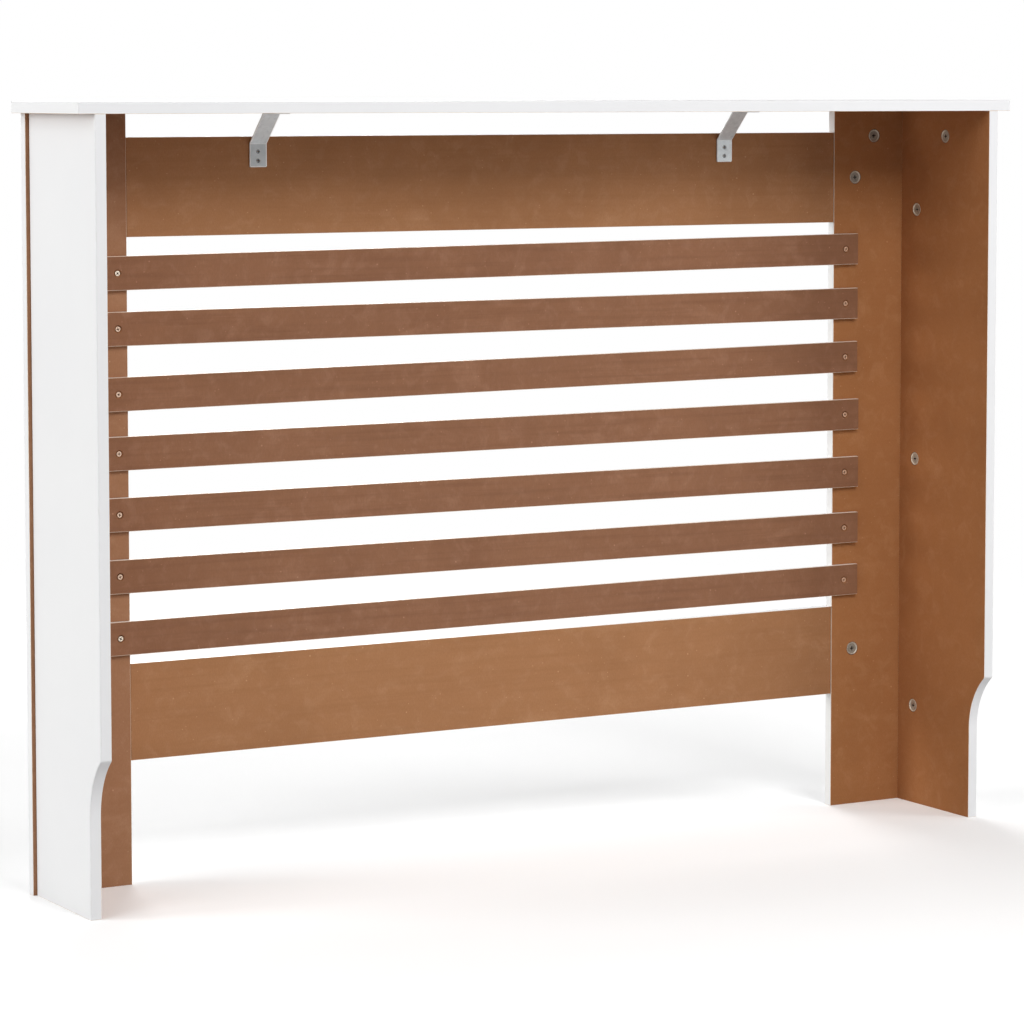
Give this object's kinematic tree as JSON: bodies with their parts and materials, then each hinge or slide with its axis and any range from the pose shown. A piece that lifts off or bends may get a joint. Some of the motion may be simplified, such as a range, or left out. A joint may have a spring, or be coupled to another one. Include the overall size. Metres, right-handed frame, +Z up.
{
  "type": "radiator cover cabinet",
  "caption": "Open-backed board box that stands over a radiator, with a framed front, a grille of level slats, side panels with skirting cut-outs and a vented top board on brackets.",
  "frame": {"origin": "on the floor, midway along the top board's length and midway between its front edge and the wall", "axes": "+X to the right as seen from the front, +Y towards the wall, +Z up"},
  "size_m": [1.12, 0.19, 0.81],
  "materials": {
    "faced_board": "white satin facing on medium-density fibreboard, raw brown inner face",
    "raw_board": "medium-density fibreboard, raw brown at the back, white satin at the front",
    "zinc_steel": "zinc-plated pressed steel, satin",
    "cast_zinc": "bare die-cast zinc, dull",
    "screw_steel": "zinc-plated steel, bright"
  },
  "bodies": {
    "root": {"top_board": "faced_board", "side_panel_left": "faced_board", "side_panel_right": "faced_board", "stile_left": "raw_board", "stile_right": "raw_board", "top_rail": "raw_board", "bottom_rail": "raw_board", "slat_1": "raw_board", "slat_2": "raw_board", "slat_3": "raw_board", "slat_4": "raw_board", "slat_5": "raw_board", "slat_6": "raw_board", "slat_7": "raw_board", "bracket_left": "zinc_steel", "bracket_right": "zinc_steel", "slat_screw_1_left": "screw_steel", "slat_screw_1_right": "screw_steel", "slat_screw_2_left": "screw_steel", "slat_screw_2_right": "screw_steel", "slat_screw_3_left": "screw_steel", "slat_screw_3_right": "screw_steel", "slat_screw_4_left": "screw_steel", "slat_screw_4_right": "screw_steel", "slat_screw_5_left": "screw_steel", "slat_screw_5_right": "screw_steel", "slat_screw_6_left": "screw_steel", "slat_screw_6_right": "screw_steel", "slat_screw_7_left": "screw_steel", "slat_screw_7_right": "screw_steel", "cam_stile_top_left": "cast_zinc", "cam_top_rail_left": "cast_zinc", "cam_bottom_rail_left": "cast_zinc", "cam_side_top_left": "cast_zinc", "cam_side_upper_left": "cast_zinc", "cam_side_middle_left": "cast_zinc", "cam_side_lower_left": "cast_zinc", "cam_stile_top_right": "cast_zinc", "cam_top_rail_right": "cast_zinc", "cam_bottom_rail_right": "cast_zinc", "cam_side_top_right": "cast_zinc", "cam_side_upper_right": "cast_zinc", "cam_side_middle_right": "cast_zinc", "cam_side_lower_right": "cast_zinc", "bolt_stile_top_left": "zinc_steel", "bolt_top_rail_left": "zinc_steel", "bolt_bottom_rail_left": "zinc_steel", "bolt_side_top_left": "zinc_steel", "bolt_side_upper_left": "zinc_steel", "bolt_side_middle_left": "zinc_steel", "bolt_side_lower_left": "zinc_steel", "bolt_stile_top_right": "zinc_steel", "bolt_top_rail_right": "zinc_steel", "bolt_bottom_rail_right": "zinc_steel", "bolt_side_top_right": "zinc_steel", "bolt_side_upper_right": "zinc_steel", "bolt_side_middle_right": "zinc_steel", "bolt_side_lower_right": "zinc_steel"}
  },
  "joints": []
}
